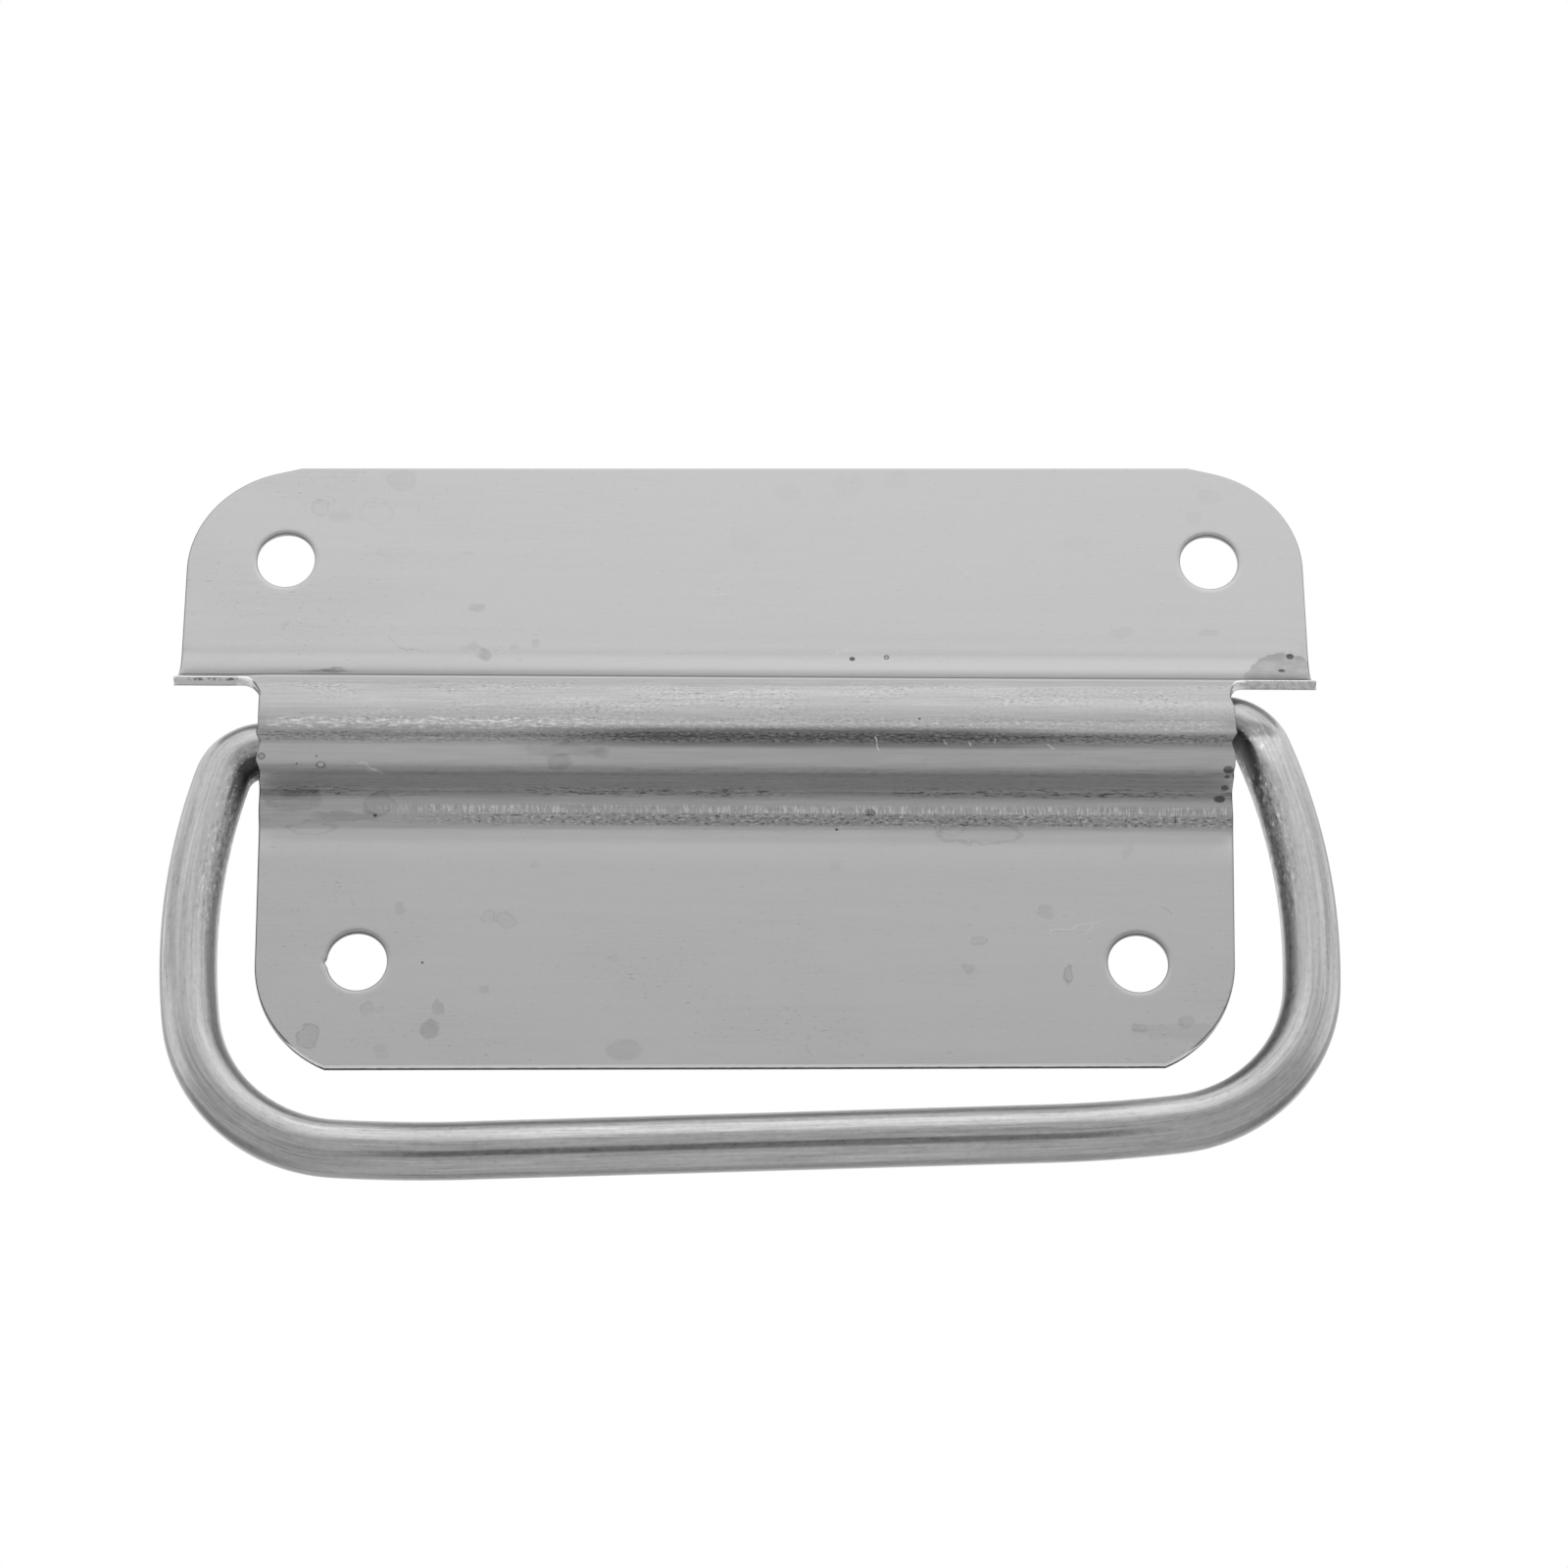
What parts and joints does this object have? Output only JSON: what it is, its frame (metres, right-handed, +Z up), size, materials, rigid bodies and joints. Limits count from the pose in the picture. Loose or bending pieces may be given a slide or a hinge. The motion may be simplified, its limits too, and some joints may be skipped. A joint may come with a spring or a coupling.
{
  "type": "chest handle",
  "caption": "Surface-mounted chest handle: a pressed steel backplate whose hollow barrel loosely holds the ends of a bent wire bail, with wings that stop the bail when it is lifted.",
  "frame": {"origin": "midway between the two upper screw holes, on the plate's back face, which lies on the wall", "axes": "+X to the right along the barrel, +Y into the wall, +Z up"},
  "size_m": [0.1061, 0.0075, 0.0735],
  "materials": {
    "sheet_steel": "cold-rolled sheet, thin bright plating, satin with fine rolling lines",
    "wire_steel": "drawn wire, thin bright plating, semi-bright with lengthwise die lines"
  },
  "bodies": {
    "plate": {"plate": "sheet_steel"},
    "bail": {"bail": "wire_steel"}
  },
  "joints": [
    {"name": "bail_pivot", "type": "hinge", "parent": "plate", "child": "bail", "pos_m": [-0.0002, -0.00265, -0.0197], "axis": [-0.9995, 0, -0.0314], "range_deg": [0, 90]}
  ]
}
